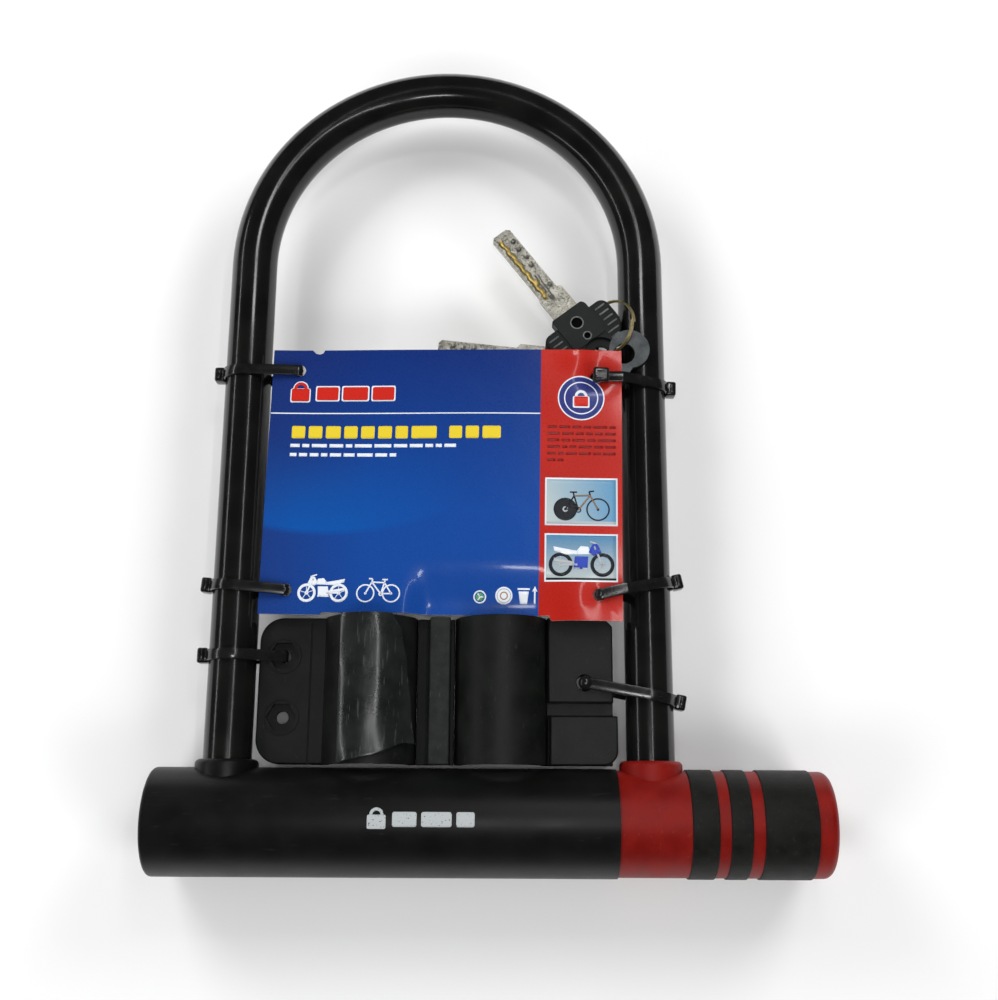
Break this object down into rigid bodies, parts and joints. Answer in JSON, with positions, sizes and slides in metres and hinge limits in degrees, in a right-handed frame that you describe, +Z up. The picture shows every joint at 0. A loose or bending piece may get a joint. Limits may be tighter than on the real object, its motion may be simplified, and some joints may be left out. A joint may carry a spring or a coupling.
{
  "type": "u lock",
  "caption": "U-shaped shackle lock with a keyed crossbar, tied to its printed card, frame bracket and keys as sold.",
  "frame": {"origin": "under the middle of the lock's box, on the surface that it lies on", "axes": "+X along the crossbar towards the keyhole end, +Y from the crossbar to the top of the arc, +Z up, away from the surface"},
  "size_m": [0.2762, 0.3644, 0.0435],
  "materials": {
    "bare_steel": "turned and zinc plated",
    "black_cover": "satin moulded",
    "red_plastic": "satin moulded",
    "grip_rubber": "matte",
    "cylinder_brass": "turned",
    "bracket_plastic": "fine grained moulded",
    "strap_plastic": "coarse grained moulded",
    "coat_plastic": "glossy dipped coat",
    "card_print": "gloss laminated print",
    "liner_rubber": "glossy strip",
    "tie_nylon": "moulded nylon",
    "ring_brass": "plated spring wire",
    "key_nickel": "nickel plated, milled",
    "head_plastic": "satin moulded"
  },
  "bodies": {
    "crossbar": {"crossbar_tube": "bare_steel", "crossbar_cover": "black_cover", "left_collar": "black_cover", "left_end_plug": "bare_steel", "lock_sleeve": "red_plastic", "grip_ring_1": "grip_rubber", "grip_ring_2": "grip_rubber", "grip_ring_3": "grip_rubber", "end_cap": "red_plastic", "flap_pin": "bare_steel", "driver_pins": "cylinder_brass", "pin_springs": "bare_steel", "cylinder_housing": "cylinder_brass", "set_screw": "bare_steel", "shaft_bush_1": "bracket_plastic", "shaft_bush_2": "bracket_plastic", "shaft_bush_3": "bracket_plastic"},
    "keyhole_flap": {"keyhole_flap": "bracket_plastic"},
    "lock_core": {"locking_shaft": "bare_steel", "key_plug": "cylinder_brass", "key_pins": "cylinder_brass"},
    "shackle": {"shackle_rod": "bare_steel", "shackle_coat": "coat_plastic", "display_card": "card_print", "clamp_half_left": "bracket_plastic", "clamp_half_right": "bracket_plastic", "hinge_strap": "strap_plastic", "hinge_pin": "bare_steel", "latch_block": "bracket_plastic", "rubber_liner": "liner_rubber", "cable_tie_1": "tie_nylon", "cable_tie_2": "tie_nylon", "cable_tie_3": "tie_nylon", "cable_tie_4": "tie_nylon", "cable_tie_5": "tie_nylon", "cable_tie_6": "tie_nylon", "bare_key": "key_nickel", "key_2_blade": "key_nickel", "key_2_head": "head_plastic"},
    "keys": {"key_1_blade": "key_nickel", "key_1_head": "head_plastic", "key_ring": "ring_brass"}
  },
  "joints": [
    {"name": "shackle_slide", "type": "slide", "parent": "crossbar", "child": "shackle", "axis": [0, 1, 0], "range_m": [0, 0.045]},
    {"name": "key_turn", "type": "hinge", "parent": "crossbar", "child": "lock_core", "pos_m": [-0.02125, -0.16048, 0.02175], "axis": [1, 0, 0], "range_deg": [0, 90]},
    {"name": "flap_swing", "type": "hinge", "parent": "crossbar", "child": "keyhole_flap", "pos_m": [0.13635, -0.15147, 0.02175], "axis": [0, 0, 1], "range_deg": [0, 100]},
    {"name": "key_swing", "type": "hinge", "parent": "shackle", "child": "keys", "pos_m": [0.05735, 0.03882, 0.03305], "axis": [0, 0, 1], "range_deg": [0, 8]}
  ]
}
